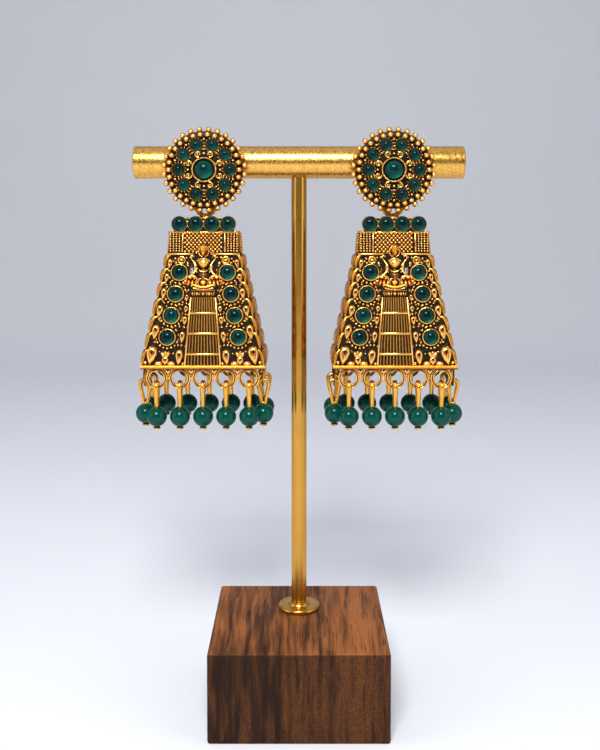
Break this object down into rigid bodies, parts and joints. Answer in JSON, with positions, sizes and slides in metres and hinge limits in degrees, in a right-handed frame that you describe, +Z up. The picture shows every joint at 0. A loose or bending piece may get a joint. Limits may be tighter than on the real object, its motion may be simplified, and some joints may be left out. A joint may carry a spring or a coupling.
{
  "type": "pair of jhumka drop earrings on a T-bar display stand",
  "caption": "Pair of antique gold stud earrings with hollow square drops, green stones and bead fringe, on a plain wooden T-bar stand.",
  "frame": {"origin": "on the block's underside, under the post's axis, where the stand rests", "axes": "+Z up along the post, +X along the bar towards the right earring, -Y towards the front of the earrings"},
  "size_m": [0.086, 0.044, 0.1492],
  "materials": {
    "walnut": "oiled, open grain",
    "bright_gold": "polished",
    "satin_gold": "satin, brushed round",
    "antique_gold": "gold plated, bright edges over dark oxidised recesses",
    "green_stone": "polished cabochon",
    "green_bead": "polished round bead, with a gold wire loop and cap"
  },
  "bodies": {
    "stand": {"stand_block": "walnut", "stand_foot": "bright_gold", "stand_post": "bright_gold", "stand_bar": "satin_gold", "left_stud": "antique_gold", "left_stud_centre_stone": "green_stone", "right_stud": "antique_gold", "right_stud_centre_stone": "green_stone"},
    "left_drop": {"left_drop_frame": "antique_gold", "left_panel_stone_1": "green_stone", "left_panel_stone_2": "green_stone", "left_panel_stone_3": "green_stone", "left_panel_stone_4": "green_stone", "left_panel_stone_5": "green_stone", "left_panel_stone_6": "green_stone", "left_panel_stone_7": "green_stone", "left_panel_stone_8": "green_stone", "left_bead_drop_1": "green_bead", "left_bead_drop_2": "green_bead", "left_bead_drop_3": "green_bead", "left_bead_drop_4": "green_bead", "left_bead_drop_5": "green_bead", "left_bead_drop_6": "green_bead", "left_bead_drop_7": "green_bead", "left_bead_drop_8": "green_bead", "left_bead_drop_9": "green_bead", "left_bead_drop_10": "green_bead", "left_bead_drop_11": "green_bead", "left_bead_drop_12": "green_bead", "left_bead_drop_13": "green_bead", "left_bead_drop_14": "green_bead"},
    "right_drop": {"right_drop_frame": "antique_gold", "right_panel_stone_1": "green_stone", "right_panel_stone_2": "green_stone", "right_panel_stone_3": "green_stone", "right_panel_stone_4": "green_stone", "right_panel_stone_5": "green_stone", "right_panel_stone_6": "green_stone", "right_panel_stone_7": "green_stone", "right_panel_stone_8": "green_stone", "right_bead_drop_1": "green_bead", "right_bead_drop_2": "green_bead", "right_bead_drop_3": "green_bead", "right_bead_drop_4": "green_bead", "right_bead_drop_5": "green_bead", "right_bead_drop_6": "green_bead", "right_bead_drop_7": "green_bead", "right_bead_drop_8": "green_bead", "right_bead_drop_9": "green_bead", "right_bead_drop_10": "green_bead", "right_bead_drop_11": "green_bead", "right_bead_drop_12": "green_bead", "right_bead_drop_13": "green_bead", "right_bead_drop_14": "green_bead"}
  },
  "joints": [
    {"name": "left_drop_swing", "type": "hinge", "parent": "stand", "child": "left_drop", "pos_m": [-0.0242, -0.00265, 0.1324], "axis": [1, 0, 0], "range_deg": [-12, 70]},
    {"name": "right_drop_swing", "type": "hinge", "parent": "stand", "child": "right_drop", "pos_m": [0.0242, -0.00265, 0.1324], "axis": [1, 0, 0], "range_deg": [-12, 70]}
  ]
}
